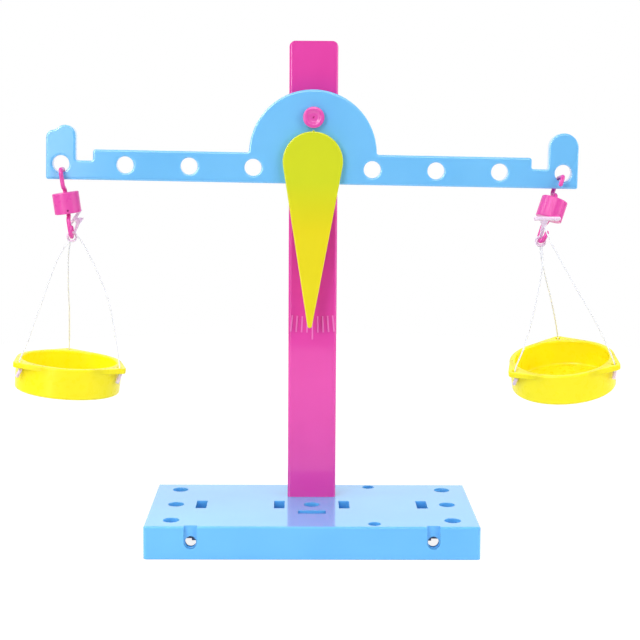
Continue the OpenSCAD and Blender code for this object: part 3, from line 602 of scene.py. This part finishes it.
# The dish in the pin's head, from its rim to the small point left in the middle
PIVOT_Z, HEAD_T = 0.198, 0.0011
DISH_R, DISH_POINT_R, DISH_SLOPE, DISH_DEPTH = 0.0040, 0.0004, 0.0020, 0.0005


def make_pin():
    """The pin with soft edges, and its head hollowed behind a round rim."""
    copy = bpy.data.objects.new("pin_copy", nodes["pivot_pin"].data.copy())
    scene.collection.objects.link(copy)
    soften(copy, PIN_VOXEL, PIN_ROUNDS)
    bpy.context.view_layer.update()
    mesh = bpy.data.meshes.new_from_object(copy.evaluated_get(bpy.context.evaluated_depsgraph_get()))
    bpy.data.objects.remove(copy)
    front = min(v.co.y for v in mesh.vertices)
    for v in mesh.vertices:
        r = math.hypot(v.co.x, v.co.z - PIVOT_Z)
        if v.co.y < front + HEAD_T and DISH_POINT_R < r < DISH_R:
            t = min(1.0, (DISH_R - r) / DISH_SLOPE)
            v.co.y += DISH_DEPTH * t * t * (3 - 2 * t)
    mesh.shade_smooth()
    add_piece("soft_pin", mesh, PIN, "stand", "pivot_pin")


# The right weight's upper hook: where it starts, its legs' places in y, and how far the front leg goes
HOOK_FOOT_Z, HOOK_BACK_Y, HOOK_FRONT_Y = 0.1645, 0.0140, 0.0040
HOOK_SIDEWAYS, HOOK_UPWARD = -0.0018, 0.0003


def make_right_weight():
    """The right weight with the front leg of its upper hook drawn in, as it hangs in the photograph."""
    mesh = nodes["right_weight"].data.copy()
    for v in mesh.vertices:
        if v.co.z > HOOK_FOOT_Z:
            share = min(1.0, max(0.0, (HOOK_BACK_Y - v.co.y) / (HOOK_BACK_Y - HOOK_FRONT_Y)))
            v.co.x += HOOK_SIDEWAYS * share
            v.co.z += HOOK_UPWARD * share
    add_piece("right_hooked_weight", mesh, WEIGHT, "right_hook", "right_weight")


for name, obj in nodes.items():
    dress(obj.data, MATERIALS.get(name, NYLON))
make_beam()
make_pointer()
for name in PANS:
    make_pan(name)
for name, route in ROUTES.items():
    make_filament(name, route)
for side, slimmer in TAG_SLIMMER.items():
    make_melted(side + "_hanger_tag", side + "_tag", side, TAG_VOXEL, TAG_ROUNDS, slimmer)
    for ear in ("outer", "back", "inner"):
        toggle = side + "_" + ear
        make_melted(toggle + "_toggle", toggle + "_bar", side, TOGGLE_VOXEL, TOGGLE_ROUNDS, TOGGLE_SLIMMER)
make_pin()
make_right_weight()

# Floor, light and surroundings
FLOOR_RADIUS, FLOOR_PLACE, FLOOR_POINTS = 0.55, (0, 0.05, -0.0002), 96
FLOOR_LIGHT, FLOOR_CATCH, FLOOR_PLAIN = 0.90, 0.22, 0.75
# Strength of the room's light in front, at the back and at the top, and where it rises on y and z
ROOM_FRONT, ROOM_BACK, ROOM_TOP = 0.16, 1.05, 0.35
BACK_RISE, TOP_RISE = (0.35, 0.85), (0.2, 0.9)


def seen_by(tree, *kinds):
    """1 for rays of these kinds, 0 for all others."""
    path = add(tree, "ShaderNodeLightPath")
    rays = path.outputs[kinds[0]]
    for kind in kinds[1:]:
        rays = calculate(tree, "MAXIMUM", rays, path.outputs[kind])
    return rays


def pick(tree, factor, otherwise, chosen):
    return add(tree, "ShaderNodeMixShader", {0: factor, 1: otherwise.outputs[0], 2: chosen.outputs[0]})


def make_floor():
    """White as it is seen, with soft shadows, and a plain pale floor for the light itself."""
    bpy.ops.mesh.primitive_circle_add(vertices=FLOOR_POINTS, radius=FLOOR_RADIUS, fill_type="NGON",
                                      location=FLOOR_PLACE)
    floor = bpy.context.object
    floor.name = "floor"
    mat, tree = tree_of("floor")
    white = add(tree, "ShaderNodeEmission", {"Strength": FLOOR_LIGHT})
    catch = add(tree, "ShaderNodeBsdfDiffuse", {"Color": grey(FLOOR_CATCH)})
    seen = add(tree, "ShaderNodeAddShader", {0: white.outputs[0], 1: catch.outputs[0]})
    plain = add(tree, "ShaderNodeBsdfDiffuse", {"Color": grey(FLOOR_PLAIN)})
    rays = seen_by(tree, "Is Camera Ray", "Is Glossy Ray", "Is Transmission Ray")
    add(tree, "ShaderNodeOutputMaterial", {"Surface": pick(tree, rays, plain, seen).outputs[0]})
    dress(floor.data, mat)


def make_world():
    """White as it is seen, and for the light a room that is brighter behind and above the object."""
    world = bpy.data.worlds.new("studio")
    scene.world = world
    world.use_nodes = True
    tree = world.node_tree
    tree.nodes.clear()
    axes = add(tree, "ShaderNodeSeparateXYZ",
               {"Vector": add(tree, "ShaderNodeTexCoord").outputs["Generated"]})
    back = remap(tree, axes.outputs["Y"], ROOM_FRONT, ROOM_BACK, *BACK_RISE)
    high = remap(tree, axes.outputs["Z"], 0.0, ROOM_TOP, *TOP_RISE)
    room = add(tree, "ShaderNodeBackground",
               {"Color": grey(1), "Strength": calculate(tree, "ADD", back, high)})
    seen = add(tree, "ShaderNodeBackground", {"Color": grey(1), "Strength": 1.0})
    rays = seen_by(tree, "Is Camera Ray", "Is Transmission Ray")
    add(tree, "ShaderNodeOutputWorld", {"Surface": pick(tree, rays, room, seen).outputs[0]})


def lamp(name, place, aim, size, energy, mirrored=True, lights=True):
    """An area lamp. mirrored: it shows in gloss; lights: it lights matt surfaces."""
    data = bpy.data.lights.new(name, "AREA")
    data.shape = "RECTANGLE"
    data.size, data.size_y = size
    data.energy = energy
    obj = bpy.data.objects.new(name, data)
    obj.location = place
    obj.rotation_euler = (Vector(aim) - Vector(place)).to_track_quat("-Z", "Y").to_euler()
    obj.visible_glossy = mirrored
    obj.visible_diffuse = lights
    scene.collection.objects.link(obj)


make_floor()
make_world()
lamp("key", (-0.72, -0.92, 0.72), (0, 0, 0.17), (0.55, 1.2), 9.0)
lamp("fill", (0.95, -0.75, 0.60), (0, 0, 0.16), (0.7, 1.1), 7.5, mirrored=False)
lamp("left_edge", (-1.05, -0.05, 0.80), (0, 0, 0.14), (0.4, 0.8), 6.5)
lamp("right_edge", (1.05, 0.1, 0.45), (0, 0, 0.14), (0.4, 0.8), 3.5)
lamp("top", (-0.1, 0.15, 1.3), (0, 0, 0.1), (0.8, 0.8), 2.5)
lamp("front_gleam", (-0.20, -1.05, 0.64), (0, 0, 0.17), (1.3, 0.3), 5.5, lights=False)
lamp("left_gleam", (-0.70, -1.00, 0.25), (0, 0, 0.17), (0.25, 0.9), 3.0, lights=False)
lamp("end_gleam", (-0.34, -1.00, 0.24), (-0.12, 0, 0.2), (0.16, 0.4), 0.44, lights=False)
lamp("right_gleam", (1.25, -0.45, 0.35), (0, 0, 0.16), (0.4, 1.0), 3.5, lights=False)

scene.view_settings.view_transform = "Standard"
